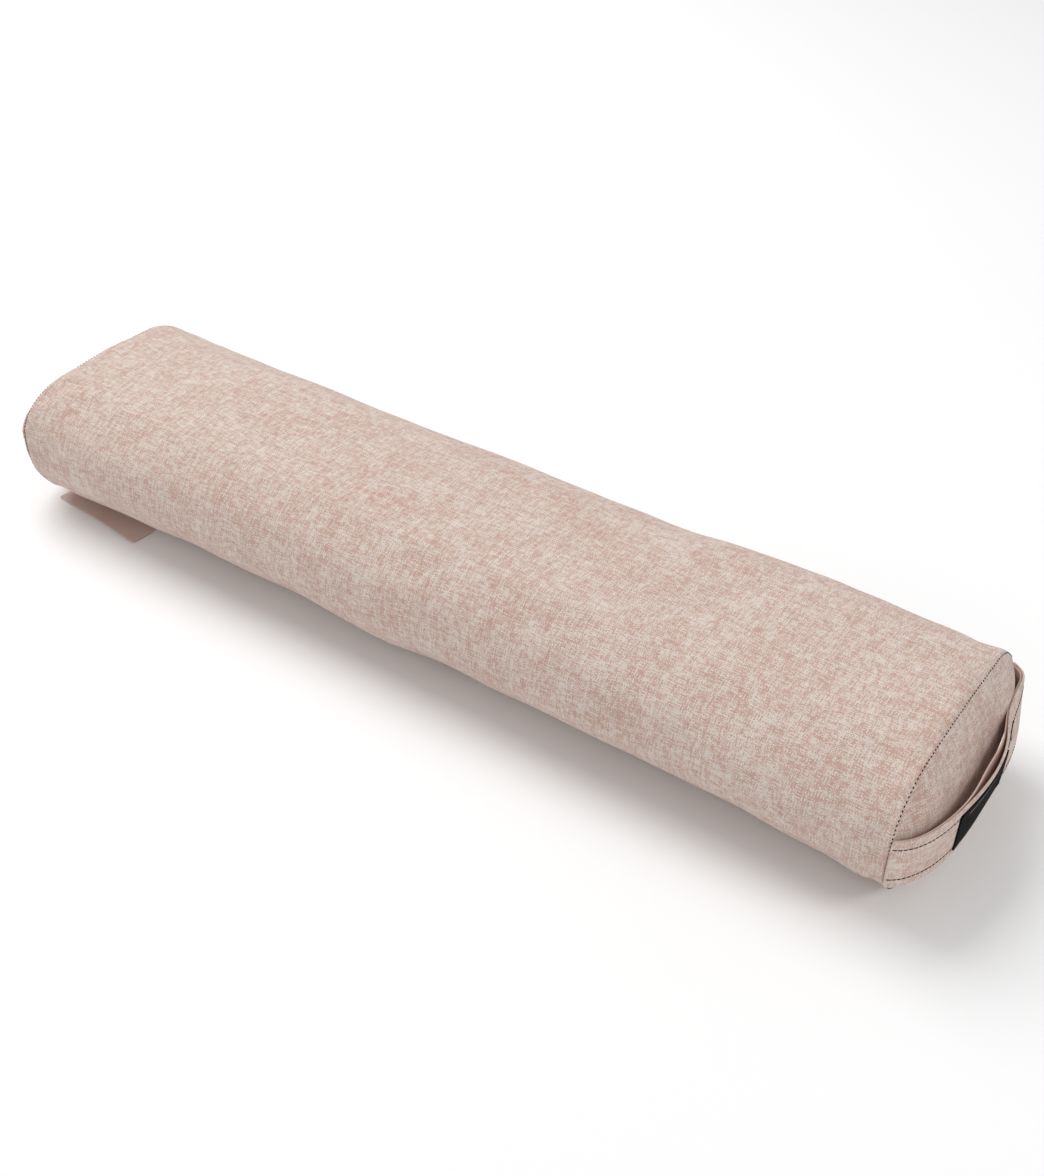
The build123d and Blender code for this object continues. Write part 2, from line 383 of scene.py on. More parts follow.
def heather_cloth(name, dark, pale, pitch=0.9 * MM, contrast=0.11, sheen=0.1):
    """Plain weave of two-tone threads."""
    g = Graph(name, roughness=0.88, sheen=sheen)
    u, v, warp, weft = g.threads(pitch)
    warp_index = g.math("FLOOR", warp)
    weft_index = g.math("FLOOR", weft)
    parity = g.math("MODULO", g.math("ABSOLUTE", g.math("ADD", warp_index, weft_index)), 2.0)
    warp_tone = thread_tone(g, warp_index, v, u, 1.5)
    weft_tone = thread_tone(g, weft_index, u, v, 31.5)
    patch = g.noise(g.vector(g.math("DIVIDE", u, 38 * MM), g.math("DIVIDE", v, 55 * MM), 3.0), 1.0, 1.0)
    woven = g.blend(parity, warp_tone, weft_tone)
    tone = g.math("ADD", g.times(woven, 0.9), g.times(patch, 0.1))
    tone = g.ramp(tone, 0.5 - contrast, 0.5 + contrast)
    across_warp = g.rib(warp)
    across_weft = g.rib(weft)
    warp_up = g.times(across_warp, g.affine(across_weft, 0.4, 0.6))
    weft_up = g.times(across_weft, g.affine(across_warp, 0.4, 0.6))
    height = g.blend(parity, warp_up, weft_up)
    colour = g.mix(tone, dark, pale)
    # Painted shade: the colour is darkened where the threads dip, in the hollows between them.
    colour = g.shade(colour, g.affine(height, 0.16, 0.86))
    rough = g.affine(tone, -0.06, 0.92)
    return g.finish(colour, height, depth=0.22 * MM, strength=0.55, roughness=rough)


def plain_cloth(name, colour, pitch=0.6 * MM, variation=0.08, sheen=0.1, rib=1.0):
    """A plain weave in one colour. A low rib makes the warp stand out."""
    g = Graph(name, roughness=0.9, sheen=sheen)
    u, v, warp, weft = g.threads(pitch)
    across_warp = g.rib(warp)
    across_weft = g.rib(weft)
    height = g.times(across_warp, g.affine(across_weft, rib, 1.0 - rib))
    uneven = g.noise(g.vector(g.math("FLOOR", warp), g.math("DIVIDE", v, 12 * MM), 2.0), 0.9, 1.0)
    cloud = g.noise(g.place(), 55.0, 3.0)
    share = g.math("ADD", g.times(uneven, 0.6), g.times(cloud, 0.4))
    share = g.affine(share, 2 * variation, 1.0 - variation)
    # The threads' own uneven tone, times painted shade: darker where the threads dip, in the hollows
    # between them.
    uneven_tone_and_hollow_shade = g.times(share, g.affine(height, 0.2, 0.84))
    return g.finish(g.shade(colour, uneven_tone_and_hollow_shade), height, depth=0.15 * MM, strength=0.5)


def thread_material(name, colour, sheen=0.1):
    """Twisted thread: fine oblique ridges and a little fuzz."""
    g = Graph(name, roughness=0.7, sheen=sheen)
    values = {"Vector": g.place(), "Scale": 900.0, "Distortion": 1.5}
    wave = g.node("TexWave", values, wave_type="BANDS", bands_direction="DIAGONAL")["Fac"]
    fuzz = g.noise(g.place(), 2600.0, 2.0)
    height = g.math("ADD", wave, g.times(fuzz, 0.5))
    # Painted shade: the colour is darkened where the height is low, in the grooves between the twisted
    # ridges.
    share = g.affine(height, 0.35, 0.6)
    return g.finish(g.shade(colour, share), height, depth=0.12 * MM, strength=0.6)


def soft_filling(name, colour, grain, depth):
    """Wadding or foam: a clouded, pitted surface."""
    g = Graph(name, roughness=0.95, sheen=0.05)
    values = {"Vector": g.place(), "Scale": grain}
    cells = g.node("TexVoronoi", values, feature="SMOOTH_F1")["Distance"]
    height = g.math("ADD", cells, g.noise(g.place(), grain / 12, 4.0))
    # The colour follows the height: painted shade, darker in the pits, and the filling's own clouded
    # tone from the noise.
    share = g.affine(height, 0.14, 0.84)
    return g.finish(g.shade(colour, share), height, depth=depth, strength=0.5)


def moulded_plastic(name, colour):
    """Drawn plastic with faint lines and dulled patches."""
    g = Graph(name, roughness=0.42)
    fine = g.noise(g.place(), 900.0, 2.0)
    cloud = g.noise(g.place(), 120.0, 2.0)
    share = g.affine(cloud, 0.2, 0.88)
    rough = g.affine(fine, 0.2, 0.34)
    return g.finish(g.shade(colour, share), fine, depth=0.03 * MM, strength=0.3, roughness=rough)


def enamelled_metal(name, colour):
    """The slider's dark enamel over metal, rubbed paler in places."""
    g = Graph(name, roughness=0.35)
    g.fill(g.shader, {"Metallic": 0.6})
    worn = g.ramp(g.noise(g.place(), 420.0, 5.0, 0.65), 0.6, 0.72)
    cast = g.noise(g.place(), 1500.0, 2.0)
    rough = g.affine(cast, 0.25, 0.24)
    shown = g.mix(g.times(worn, 0.35), colour, srgb(150, 148, 146))
    return g.finish(shown, cast, depth=0.03 * MM, strength=0.25, roughness=rough)


def label_cloth():
    """Dense black weave: fine ribs, and a plain grey woven line near the upper edge."""
    g = Graph("label_weave", roughness=0.8)
    g.fill(g.shader, {"Specular IOR Level": 0.08})
    u, v = g.uv()
    ribs = g.rib(g.math("DIVIDE", v, 0.45 * MM))
    picks = g.rib(g.math("DIVIDE", u, 0.7 * MM))
    height = g.times(ribs, g.affine(picks, 0.35, 0.65))
    off = g.math("ABSOLUTE", g.math("SUBTRACT", v, LABEL_LINE_V))
    line = g.ramp(off, 0.7 * MM, 0.45 * MM)
    inside = g.ramp(g.math("ABSOLUTE", u), LABEL_LINE_HALF + 0.3 * MM, LABEL_LINE_HALF)
    dashes = g.ramp(picks, 0.25, 0.5, 0.25, 1.0)
    woven = g.times(g.times(line, inside), dashes)
    cloud = g.noise(g.place(), 300.0, 2.0)
    ground = g.shade(srgb(19, 17, 18), g.affine(cloud, 0.5, 0.7))
    colour = g.mix(g.times(woven, 0.8), ground, srgb(176, 172, 168))
    # Painted shade: the colour is darkened between the ribs, where the weave dips.
    colour = g.shade(colour, g.affine(height, 0.4, 0.65))
    return g.finish(colour, height, depth=0.15 * MM, strength=0.7)


MATERIALS = {
    "cover_cloth": heather_cloth("cover_cloth", srgb(195, 159, 147), srgb(220, 209, 199)),
    "strap_cloth": heather_cloth("strap_cloth", srgb(198, 163, 151), srgb(224, 211, 200), 0.8 * MM),
    "strap_lining": plain_cloth("strap_lining", srgb(222, 190, 178)),
    "dark_thread": thread_material("dark_thread", srgb(15, 13, 14), sheen=0.0),
    "label_weave": label_cloth(),
    "tag_cloth": plain_cloth("tag_cloth", srgb(222, 197, 187), 0.5 * MM),
    "zip_tape_cloth": plain_cloth("zip_tape_cloth", srgb(186, 152, 142), 0.7 * MM, rib=0.5),
    "zip_coil_plastic": moulded_plastic("zip_coil_plastic", srgb(190, 156, 146)),
    "zip_metal": enamelled_metal("zip_metal", srgb(58, 56, 58)),
    "liner_thread": thread_material("liner_thread", srgb(226, 224, 220)),
    "liner_cloth": plain_cloth("liner_cloth", srgb(228, 225, 219), 0.5 * MM),
    "wadding": soft_filling("wadding", srgb(238, 238, 236), 260.0, 1.2 * MM),
    "core_foam": soft_filling("core_foam", srgb(232, 226, 206), 700.0, 0.5 * MM),
}


def dress(piece, slot):
    """Gives a piece the material of a slot."""
    piece.data.materials.clear()
    piece.data.materials.append(MATERIALS[slot])
    return piece


def fixed(piece, slot, *nodes):
    """Dresses a piece, attaches it to the root body and hides the CAD nodes that it stands for."""
    dress(piece, slot)
    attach(piece, "root")
    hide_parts(*nodes)
    return piece


# The body's section


def arc(middle, radius, start, end):
    """Points along an arc in the section's plane, angles in degrees from +Y."""
    turn = np.radians(np.linspace(start, end, 60))
    return np.c_[middle[0] + radius * np.cos(turn), middle[1] + radius * np.sin(turn)]


def dense_section():
    """The section, from the middle of the underside round by the back."""
    rise = TOP - EDGE_TOP
    crown_radius = (SIDE**2 + rise**2) / (2 * rise)
    crown_z = TOP - crown_radius
    shoulder_y = SIDE - SHOULDER_RADIUS
    reach = crown_radius - SHOULDER_RADIUS
    shoulder_z = crown_z + math.sqrt(reach**2 - shoulder_y**2)
    lean = math.degrees(math.acos(shoulder_y / reach))
    foot_y = SIDE - FOOT_RADIUS
    stretches = [
        np.array([[0, 0]]),
        arc((foot_y, FOOT_RADIUS), FOOT_RADIUS, -90, 0),
        arc((shoulder_y, shoulder_z), SHOULDER_RADIUS, 0, lean),
        arc((0, crown_z), crown_radius, lean, 180 - lean),
        arc((-shoulder_y, shoulder_z), SHOULDER_RADIUS, 180 - lean, 180),
        arc((-foot_y, FOOT_RADIUS), FOOT_RADIUS, 180, 270),
        np.array([[0, 0]]),
    ]
    return np.vstack(stretches)


def length_along(points):
    """The distance along a line of points, from its first point."""
    steps = np.linalg.norm(np.diff(points, axis=0), axis=1)
    return np.r_[0, np.cumsum(steps)]


def on_line(s, length, line):
    """The point at a distance along a line of points."""
    return np.array([np.interp(s, length, line[:, k]) for k in (0, 1)])


SECTION = dense_section()
SECTION_S = length_along(SECTION)
GIRTH = SECTION_S[-1]


def section_at(s, inset=0.0):
    """A point of the section at a distance round it, set in along its normal."""
    step = 0.6 * MM
    point = on_line(s % GIRTH, SECTION_S, SECTION)
    ahead = on_line((s + step) % GIRTH, SECTION_S, SECTION)
    behind = on_line((s - step) % GIRTH, SECTION_S, SECTION)
    tangent = (ahead - behind) / np.linalg.norm(ahead - behind)
    return point + inset * np.array([-tangent[1], tangent[0]])


def s_at_back(z):
    """The distance round the section to a height on the back face."""
    quarter = SECTION_S < GIRTH / 2
    return float(np.interp(z, SECTION[quarter, 1], SECTION_S[quarter]))


def s_at_corner(y_sign, z_sign):
    """The distance round the section to the middle of a rounded corner."""
    radius = SHOULDER_RADIUS if z_sign > 0 else FOOT_RADIUS
    corner = np.array([y_sign * SIDE, EDGE_TOP if z_sign > 0 else 0])
    toward = corner - radius * np.array([y_sign, z_sign])
    middle = toward + radius * np.array([y_sign, z_sign]) / math.sqrt(2)
    return float(SECTION_S[np.argmin(np.linalg.norm(SECTION - middle, axis=1))])


# The rows round the section: (where a stretch ends, how many rows it has).
ROW_STRETCHES = (
    (s_at_corner(1, -1), 20),
    (s_at_back(SLOT_LOW), 9),
    (s_at_back(SLOT_HIGH), 3),
    (s_at_corner(1, 1), 10),
    (s_at_corner(-1, 1), 40),
    (s_at_corner(-1, -1), 22),
    (GIRTH, 20),
)
BACK_FOOT, BACK_SHOULDER, FRONT_SHOULDER, FRONT_FOOT = 20, 42, 82, 104


def row_places():
    """The distance round the section of every row."""
    places = []
    start = 0.0
    for end, count in ROW_STRETCHES:
        places.extend(start + (end - start) * k / count for k in range(count))
        start = end
    return places


ROWS = row_places()


def column_places():
    """Every column's place along the body, closer together at the seams."""
    inner = SEAM_STEPS[-1]
    to_slot = HALF - inner - SLOT_HALF
    count = round(to_slot / LENGTH_STEP)
    near = list(SEAM_STEPS) + [inner + to_slot * k / count for k in range(1, count + 1)]
    across = round(2 * SLOT_HALF / LENGTH_STEP)
    right = [HALF - d for d in near]
    middle = [SLOT_HALF - 2 * SLOT_HALF * k / across for k in range(1, across)]
    return right + middle + [-x for x in reversed(right)]


COLUMNS = column_places()


def gather(x, s):
    """Small puckers in the cloth beside an end seam, out of the surface."""
    off = HALF - abs(x)
    fade = math.exp(-off / (9 * MM)) * min(1, off / (2.5 * MM))
    narrow = ripple(s / (8.5 * MM), 7.3 if x > 0 else 21.9, 0)
    wide = ripple(s / (21 * MM), off / (20 * MM), 3.1 if x > 0 else 9.7)
    return fade * (1.1 * MM * narrow + 1.3 * MM * wide)


def ditch(off):
    """How far the cover turns in towards its end seam."""
    places, depths = zip(*SEAM_DITCH)
    return float(np.interp(off, places, depths))


def tapered(points):
    """Makes the far end smaller, but keeps the back, the zip and the underside in place."""
    made = np.array(points, float)
    far = (HALF - made[:, 0]) / (2 * HALF)
    made[:, 1] = SIDE - (SIDE - made[:, 1]) * (1 - FAR_TAPER * far)
    start = SLOT_HIGH + 10 * MM
    made[:, 2] -= FAR_DROP * far * smooth((made[:, 2] - start) / (TOP - start))
    return made


def amount_at(x, stations):
    """A smooth value between (place, amount) stations."""
    for (start, before), (end, after) in zip(stations, stations[1:]):
        if x < end:
            return before + (after - before) * smooth((x - start) / (end - start))
    return stations[-1][1]


def tucked(points):
    """Draws the front foot and the back shoulder in where the filling has settled."""
    made = np.array(points, float)
    for index, (x, y, z) in enumerate(points):
        out = Vector((y / SIDE, (z - TOP / 2) / (TOP / 2))).normalized()
        for sign, stations in ((-1, FRONT_FOOT_TUCK), (1, BACK_SHOULDER_TUCK)):
            facing = sign * (out.x + out.y) / math.sqrt(2)
            share = unit((facing - 0.72) / 0.28)
            if sign > 0:
                share *= unit((z - ZIP_Z - 16 * MM) / (18 * MM))
            pull = amount_at(x, stations) * smooth(share) / math.sqrt(2)
            made[index, 1:] -= sign * pull
    return made


# The cover


def end_panel(side, start, seam):
    """One end panel: rings that turn out of the seam, then a crowned patch. Returns points
    and faces, with indices that begin at start. seam holds the seam's own point indices."""
    rows = len(ROWS)
    points = []
    rings = [list(seam)]
    for inset, lift in PANEL_RINGS:
        ring = []
        for s in ROWS:
            y, z = section_at(s, inset)
            uneven = ripple(s / (14 * MM), side * 4.4, inset / (6 * MM))
            points.append((side * (HALF + lift + 0.35 * MM * uneven), y, z))
            ring.append(start + len(points) - 1)
        rings.append(ring)
    faces = []
    for outer, inner in zip(rings, rings[1:]):
        for j in range(rows):
            k = (j + 1) % rows
            faces.append((outer[j], inner[j], inner[k], outer[k]))
    edge = np.array([section_at(s, PANEL_RINGS[-1][0]) for s in ROWS])
    wide = BACK_FOOT + (rows - FRONT_FOOT)
    tall = BACK_SHOULDER - BACK_FOOT
    patch = {}
    for i in range(wide + 1):
        for j in range(tall + 1):
            a, b = i / wide, j / tall
            under = (FRONT_FOOT + i) % rows
            over = FRONT_SHOULDER - i
            front = FRONT_FOOT - j
            back = BACK_FOOT + j
            if j == 0 or j == tall or i == 0 or i == wide:
                index = under if j == 0 else over if j == tall else front if i == 0 else back
                patch[i, j] = rings[-1][index]
                continue
            corners = (1 - a) * (1 - b) * edge[FRONT_FOOT] + a * (1 - b) * edge[BACK_FOOT]
            corners = corners + (1 - a) * b * edge[FRONT_SHOULDER] + a * b * edge[BACK_SHOULDER]
            place = (1 - b) * edge[under] + b * edge[over] + (1 - a) * edge[front] + a * edge[back]
            y, z = place - corners
            inside = np.min(np.linalg.norm(edge - (y, z), axis=1)) / (TOP / 2)
            crown = PANEL_CROWN * (1 - PANEL_BACK_DROP * unit(y / (60 * MM)))
            lift = PANEL_RINGS[-1][1] + crown * (1 - (1 - min(1, inside)) ** PANEL_POWER)
            points.append((side * (HALF + lift), y, z))
            patch[i, j] = start + len(points) - 1
    for i in range(wide):
        for j in range(tall):
            faces.append((patch[i, j], patch[i + 1, j], patch[i + 1, j + 1], patch[i, j + 1]))
    return points, faces


def cover_mesh():
    """The cover as one mesh: the tube, open at the zip's slot, and the end panels."""
    rows = len(ROWS)
    points = []
    for x in COLUMNS:
        off = HALF - abs(x)
        for s in ROWS:
            y, z = section_at(s, ditch(off) - gather(x, s))
            points.append((x, y, z))
    in_slot = range(BACK_FOOT + 9, BACK_FOOT + 12)
    faces = []
    uvs = []
    around = ROWS + [GIRTH]
    for i in range(len(COLUMNS) - 1):
        middle = (COLUMNS[i] + COLUMNS[i + 1]) / 2
        for j in range(rows):
            if abs(middle) < SLOT_HALF and j in in_slot:
                continue
            k = (j + 1) % rows
            a, b = i * rows, (i + 1) * rows
            faces.append((a + j, a + k, b + k, b + j))
            for column, row in ((i, j), (i, j + 1), (i + 1, j + 1), (i + 1, j)):
                uvs.append((around[row], COLUMNS[column]))
    last = (len(COLUMNS) - 1) * rows
    for side, seam in ((1, range(rows)), (-1, range(last, last + rows))):
        more, panel = end_panel(side, len(points), seam)
        points.extend(more)
        for face in panel:
            faces.append(face if side > 0 else face[::-1])
            for index in faces[-1]:
                uvs.append((points[index][1] + 0.3, side * points[index][2]))
    return mesh_object("cover_shell", points, faces, uvs)


def slot_loop(shape):
    """The mesh's open edges, which run round the zip's slot."""
    return [e for e in shape.edges if e.is_boundary]


def fold_hems(piece):
    """Folds the cover's edges in at the zip's slot."""
    shape = shape_from(piece.data)
    layer = shape.loops.layers.uv.active
    for depth, back in HEM_FOLD:
        made = bmesh.ops.extrude_edge_only(shape, edges=slot_loop(shape))
        for item in made["geom"]:
            if isinstance(item, bmesh.types.BMVert):
                item.co.y = SIDE - depth
                item.co.z += math.copysign(back, item.co.z - ZIP_Z)
                if abs(abs(item.co.x) - SLOT_HALF) < 1 * MM:
                    item.co.x += math.copysign(back, item.co.x)
        for item in made["geom"]:
            if isinstance(item, bmesh.types.BMFace):
                for corner in item.loops:
                    corner[layer].uv = (corner.vert.co.z + corner.vert.co.y, corner.vert.co.x)
    put_shape(shape, piece.data)
    return piece


def held_points(points):
    """1 where the end seams and the zip hold the cover still, falling to 0 away from them."""
    off_seam = np.abs(HALF - np.abs(points[:, 0]))
    off_slot = np.maximum(np.abs(points[:, 2] - ZIP_Z) - (SLOT_HIGH - ZIP_Z), 0)
    off_slot = np.maximum(off_slot, np.abs(points[:, 0]) - SLOT_HALF)
    off_slot = np.where(points[:, 1] > SIDE - 4 * MM, np.maximum(off_slot, 0), 1)
    near = np.minimum(off_seam / (2 * MM), off_slot / (3 * MM))
    return np.clip(1 - near, 0, 1)


CLOTH_STEPS = 20
CLOTH = {
    "quality": 5,
    "mass": 0.35,
    "tension_stiffness": 14,
    "compression_stiffness": 14,
    "shear_stiffness": 6,
    "bending_stiffness": 0.6,
    "use_pressure": True,
    "uniform_pressure_force": 2.2,
    "shrink_min": -0.006,
    "vertex_group_mass": "held",
}


def simulate_cover(piece, cap):
    """Fills the cover by a cloth simulation that moves no point further than cap."""
    start = points_of(piece)
    group = piece.vertex_groups.new(name="held")
    for index, weight in enumerate(held_points(start)):
        if weight > 0:
            group.add([index], float(weight), "REPLACE")
    cloth = piece.modifiers.new("cloth", "CLOTH")
    for key, value in CLOTH.items():
        setattr(cloth.settings, key, value)
    cloth.settings.effector_weights.gravity = 0
    scene = bpy.context.scene
    for step in range(1, CLOTH_STEPS + 1):
        scene.frame_set(step)
    graph = bpy.context.evaluated_depsgraph_get()
    moved = points_of(piece.evaluated_get(graph))
    piece.modifiers.clear()
    piece.vertex_groups.clear()
    scene.frame_set(1)
    change = moved - start
    size = np.linalg.norm(change, axis=1)[:, None]
    change = change / np.maximum(size, 1e-9) * (cap * np.tanh(size / cap))
    set_points(piece, start + change)
    return piece


def soft_dents(points):
    """A firm filling's shallow swells and hollows, none near the zip."""
    made = np.array(points, float)
    for index, (x, y, z) in enumerate(points):
        out = Vector((0, y, z - TOP / 2))
        out.normalize()
        swell = ripple(x / 0.085, y / 0.09 + 5.2, z / 0.06)
        swell += 0.5 * ripple(x / 0.038, y / 0.05 + 1.7, z / 0.04 + 8)
        calm = 1 - bump(z, ZIP_Z, 28 * MM) * (y > SIDE - 12 * MM)
        ends = min(1, (HALF - min(abs(x), HALF)) / 0.03)
        made[index] += np.array(out) * swell * 2.0 * MM * calm * ends
    return made


def settle(points):
    """Flattens the underside onto the ground, and lifts it over the tag."""
    made = np.array(points, float)
    tag_low, tag_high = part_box("under_tag")
    for index, (x, y, z) in enumerate(points):
        away_x = max(tag_low.x - x, x - tag_high.x, 0)
        away_y = max(tag_low.y - y, y - tag_high.y, 0)
        made[index][2] = max(z, TAG_LIFT * smooth(1 - math.hypot(away_x, away_y) / (12 * MM)))
    return made


def clear_tapes(points):
    """Keeps the cover outside the zip's tapes, beside the slot."""
    made = np.array(points, float)
    off = np.abs(made[:, 2] - ZIP_Z)
    beside = (off > SLOT_HIGH - ZIP_Z + 2 * MM) & (off < 15 * MM)
    beside &= (np.abs(made[:, 0]) < SLOT_HALF + 18 * MM) & (made[:, 1] > SIDE - 8 * MM)
    made[beside, 1] = np.maximum(made[beside, 1], SIDE - 0.7 * MM)
    return made


def make_cover():
    """The filled outer cover."""
    piece = fold_hems(cover_mesh())
    outward(piece)
    simulate_cover(piece, 3.0 * MM)
    shaped = settle(tapered(tucked(soft_dents(points_of(piece)))))
    set_points(piece, clear_tapes(shaped))
    subdivide(piece)
    points = points_of(piece)
    points[:, 2] = np.maximum(points[:, 2], 0)
    set_points(piece, points)
    fixed(piece, "cover_cloth", "cover_wrap", "near_cover_end", "far_cover_end")
    return piece


# Stitches


def stitch_shape(along, out, length, width, height):
    """The points of one stitch about its middle: a low rounded bar, narrower at its ends."""
    across = along.cross(out).normalized()
    points = []
    for share, size in ((-0.5, 0.35), (-0.28, 0.95), (0.28, 0.95), (0.5, 0.35)):
        for step in range(STITCH_SIDES):
            turn = 2 * math.pi * step / STITCH_SIDES
            side = across * math.cos(turn) * width / 2 * size
            rise = out * math.sin(turn) * height / 2 * size
            points.append(along * length * share + side + rise)
    return points


def stitches(name, places, length, width, height):
    """One mesh of stitches. Each place is a middle, a direction and an outward normal."""
    points = []
    faces = []
    for middle, along, out in places:
        start = len(points)
        shape = stitch_shape(along.normalized(), out.normalized(), length, width, height)
        points.extend(middle + p for p in shape)
        faces.extend(tube_faces(4, STITCH_SIDES, start))
    return outward(mesh_object(name, points, faces))


def seam_places(side):
    """The middles, directions and normals of one end seam's stitches."""
    places = []
    count = round(GIRTH / (3.0 * MM))
    for index in range(count):
        s = GIRTH * (index + 0.5) / count
        y, z = section_at(s, 0.75 * MM)
        ahead = section_at(s + 1 * MM, 0.75 * MM)
        middle = tapered(tucked([(side * (HALF + 0.25 * MM), y, max(z, 0.9 * MM))]))[0]
        along = Vector((0, ahead[0] - y, ahead[1] - z)).normalized()
        wobble = Vector([RANDOM.uniform(-most, most) for most in STITCH_WOBBLE])
        places.append((Vector(middle), along + wobble, Vector((side * 0.5, along.z, -along.y))))
    return places


def make_seam_stitches(end, side, cover):
    """The dark stitches that show in one end seam."""
    places = on_surface(seam_places(side), cover, 0.02 * MM)
    piece = stitches(f"{end}_end_stitches", places, *END_STITCH)
    fixed(piece, "dark_thread", f"{end}_seam_thread")


# The straps


def strap_plan():
    """The strap's outer line seen from above, as points out of the seam and across."""
    y = SIDE * np.sin(np.linspace(-math.pi / 2, math.pi / 2, 400))
    out = STRAP_BOW * (1 - np.abs(y / SIDE) ** 3.2) ** (1 / 1.5)
    line = np.c_[out, y]
    length = length_along(line)
    places = np.linspace(0, length[-1], STRAP_COLUMNS)
    even = np.c_[np.interp(places, length, line[:, 0]), np.interp(places, length, line[:, 1])]
    return even, places


PLAN, PLAN_S = strap_plan()


def strap_lean(y, z):
    """How far the strap leans out of its plan at a place: out at the label, in behind it."""
    up = max(0, (z - STRAP_LOW) / (STRAP_HIGH - STRAP_LOW))
    out_lean = 3.4 * up**1.4 * bump(y, -8 * MM, 40 * MM)
    in_lean = 7.4 * up**3.2 * bump(y, 50 * MM, 25 * MM)
    flare = 2.6 * up * bump(y, 85 * MM, 9 * MM) * min(1, (SIDE - abs(y)) / (5 * MM))
    return MM * (out_lean - in_lean + flare)


def strap_point(side, s, z, depth):
    """A point of the strap at a distance along it, a height and a depth from its outer face."""
    out, y = on_line(s, PLAN_S, PLAN)
    step = 1.5 * MM
    ahead = on_line(s + step, PLAN_S, PLAN)
    behind = on_line(s - step, PLAN_S, PLAN)
    tangent = Vector((ahead[0] - behind[0], ahead[1] - behind[1])).normalized()
    normal = Vector((tangent.y, -tangent.x))
    out = out + strap_lean(y, z) - normal.x * depth
    y = y - normal.y * depth
    if side < 0:
        out *= 1 - FAR_ROOT_DRAW * bump(y, -SIDE, 12 * MM)
        y *= 1 - FAR_FOOT_DRAW * max(0, (STRAP_MIDDLE - z) / (STRAP_MIDDLE - STRAP_LOW))
    sag = 0.8 * MM * ripple(y / 0.05, z / 0.03, side)
    point = (side * (HALF + out + sag * min(1, max(out, 0) / (10 * MM))), y, z)
    return Vector(tapered([point])[0])


def lip_gap(y, z):
    """How far the inner ply stands off the outer one: at the upper edge, near the label."""
    up = max(0, (z - STRAP_MIDDLE) / (STRAP_HIGH - STRAP_MIDDLE))
    return LIP_GAP * up * bump(y, -3 * MM, 24 * MM)


def ply_outline(low_z, high_z, thick, puff):
    """The outline of a ply's section: (height, depth) points round a slab with rolled edges.
    Between its stitched lines the cloth puffs a little."""
    rolled = thick / 2
    face = np.linspace(low_z + rolled, high_z - rolled, 17)
    outline = []
    for z in face:
        pinch = [bump(z, STRAP_MIDDLE + off, 1.6 * MM) for off in (-STITCH_OFF, STITCH_OFF)]
        outline.append((z, puff * sum(pinch)))
    for turn in (-0.25, 0, 0.25):
        angle = math.pi * turn
        outline.append((high_z - rolled + rolled * math.cos(angle), rolled + rolled * math.sin(angle)))
    for z in face[::-1][::2]:
        outline.append((z, thick))
    for turn in (0.25, 0, -0.25):
        angle = math.pi * turn
        outline.append((low_z + rolled - rolled * math.cos(angle), rolled + rolled * math.sin(angle)))
    return outline


def ply(name, side, start_depth, thick, low_z, high_z, puff, parted):
    """One ply of a strap, a closed slab whose two ends are sewn into the side seams. A parted
    ply stands off the other one at its upper edge."""
    outline = ply_outline(low_z, high_z, thick, puff)
    rows = len(outline)
    points = []
    uv_of = []
    around = length_along(np.array(outline + outline[:1]))
    for s in PLAN_S:
        for index, (z, depth) in enumerate(outline):
            y = float(np.interp(s, PLAN_S, PLAN[:, 1]))
            gap = parted * lip_gap(y, z)
            wave = 0.7 * MM * ripple(s / (26 * MM), 4.0 + side, z / (60 * MM))
            level = z + wave * (z > STRAP_MIDDLE)
            points.append(strap_point(side, s, level, start_depth + gap + depth))
            uv_of.append((s, around[index]))
    faces = tube_faces(len(PLAN_S), rows)
    uvs = []
    for face in faces:
        wraps = len(face) == 4 and max(k % rows for k in face) - min(k % rows for k in face) > 1
        for index in face:
            s, across = uv_of[index]
            uvs.append((s, around[-1] if wraps and index % rows == 0 else across))
    piece = outward(mesh_object(name, points, faces, uvs))
    return subdivide(piece)


def strapped(piece, slot, end, side, *nodes):
    """Dresses a piece of one handle, bakes its placement into its points and hides the CAD nodes
    that it stands for."""
    dress(piece, slot)
    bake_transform(piece)
    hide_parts(*nodes)


def make_plies(end, side):
    """The strap's outer and inner plies."""
    outer = ply(f"{end}_strap_outer", side, 0, OUTER_PLY, STRAP_LOW, STRAP_HIGH, 0.35 * MM, 0)
    outer_nodes = [f"{end}_handle_{part}" for part in ("grip", "front_root", "back_root")]
    strapped(outer, "strap_cloth", end, side, *outer_nodes)
    depth = OUTER_PLY + PLY_GAP
    inner_low = STRAP_LOW + 0.6 * MM
    inner_high = STRAP_HIGH - 0.8 * MM
    inner = ply(f"{end}_strap_inner", side, depth, INNER_PLY, inner_low, inner_high, 0.0, 1)
    strapped(inner, "strap_lining", end, side, f"{end}_handle_lining")


def strap_direction(side, s, z):
    """The direction along the strap and its outward normal at a place on its outer face."""
    step = 1 * MM
    along = (strap_point(side, s + step, z, 0) - strap_point(side, s - step, z, 0)).normalized()
    up = (strap_point(side, s, z + step, 0) - strap_point(side, s, z - step, 0)).normalized()
    normal = along.cross(up).normalized()
    return along, normal if normal.x * side > 0 else -normal


def topstitch_places(side):
    """The places of both stitched lines along a strap."""
    places = []
    count = int(PLAN_S[-1] / STITCH_PITCH)
    for off in (-STITCH_OFF, STITCH_OFF):
        for index in range(1, count):
            s = PLAN_S[-1] * index / count
            z = STRAP_MIDDLE + off + RANDOM.uniform(-0.12, 0.12) * MM
            along, normal = strap_direction(side, s, z)
            middle = strap_point(side, s, z, 0.22 * MM)
            places.append((middle, along, normal))
    return places


